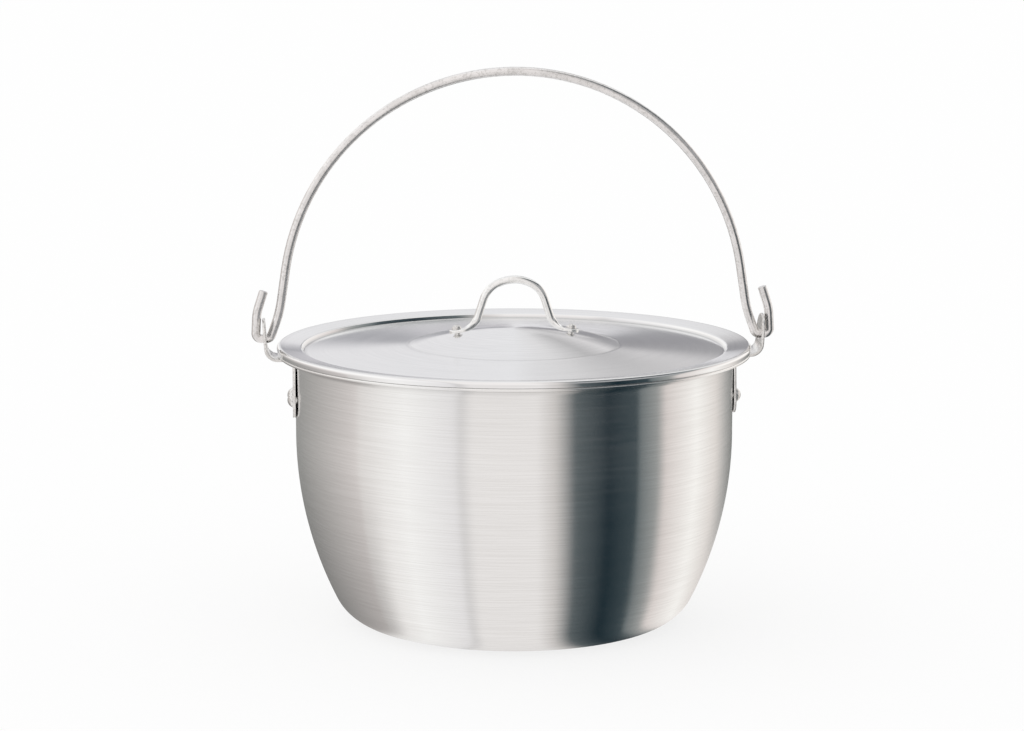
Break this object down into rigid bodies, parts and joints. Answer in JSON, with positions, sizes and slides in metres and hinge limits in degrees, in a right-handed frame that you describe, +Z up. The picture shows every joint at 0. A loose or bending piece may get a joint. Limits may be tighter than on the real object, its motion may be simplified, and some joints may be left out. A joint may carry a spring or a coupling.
{
  "type": "cooking pot",
  "caption": "Spun aluminium cooking pot with a tapering rounded body, flared rim, recessed lid with a wire handle, and a swinging wire bail hooked into riveted ears.",
  "frame": {"origin": "middle of the flat base, on the surface that the pot stands on", "axes": "+Z up, X along the line of the two ears, -Y towards the viewer of the picture"},
  "size_m": [0.3316, 0.3, 0.3521],
  "materials": {
    "spun_pot": "spun and brushed round",
    "spun_lid": "spun, fine satin",
    "bail_wire": "drawn wire, dull",
    "grip_wire": "bright polished wire",
    "ear_strap": "stamped, bright",
    "rivet": "upset heads, bright"
  },
  "bodies": {
    "pot": {"pot_body": "spun_pot", "ear_left": "ear_strap", "ear_right": "ear_strap", "ear_rivet_left_front": "rivet", "ear_rivet_left_back": "rivet", "ear_rivet_right_front": "rivet", "ear_rivet_right_back": "rivet"},
    "bail": {"bail": "bail_wire"},
    "lid": {"lid": "spun_lid", "lid_handle": "grip_wire", "lid_rivet_left": "rivet", "lid_rivet_right": "rivet"}
  },
  "joints": [
    {"name": "bail_swing", "type": "hinge", "parent": "pot", "child": "bail", "pos_m": [0, 0, 0.182], "axis": [1, 0, 0], "range_deg": [-90, 90]},
    {"name": "lid_lift", "type": "slide", "parent": "pot", "child": "lid", "axis": [0, 0.9272, 0.3746], "range_m": [0, 0.32]}
  ]
}
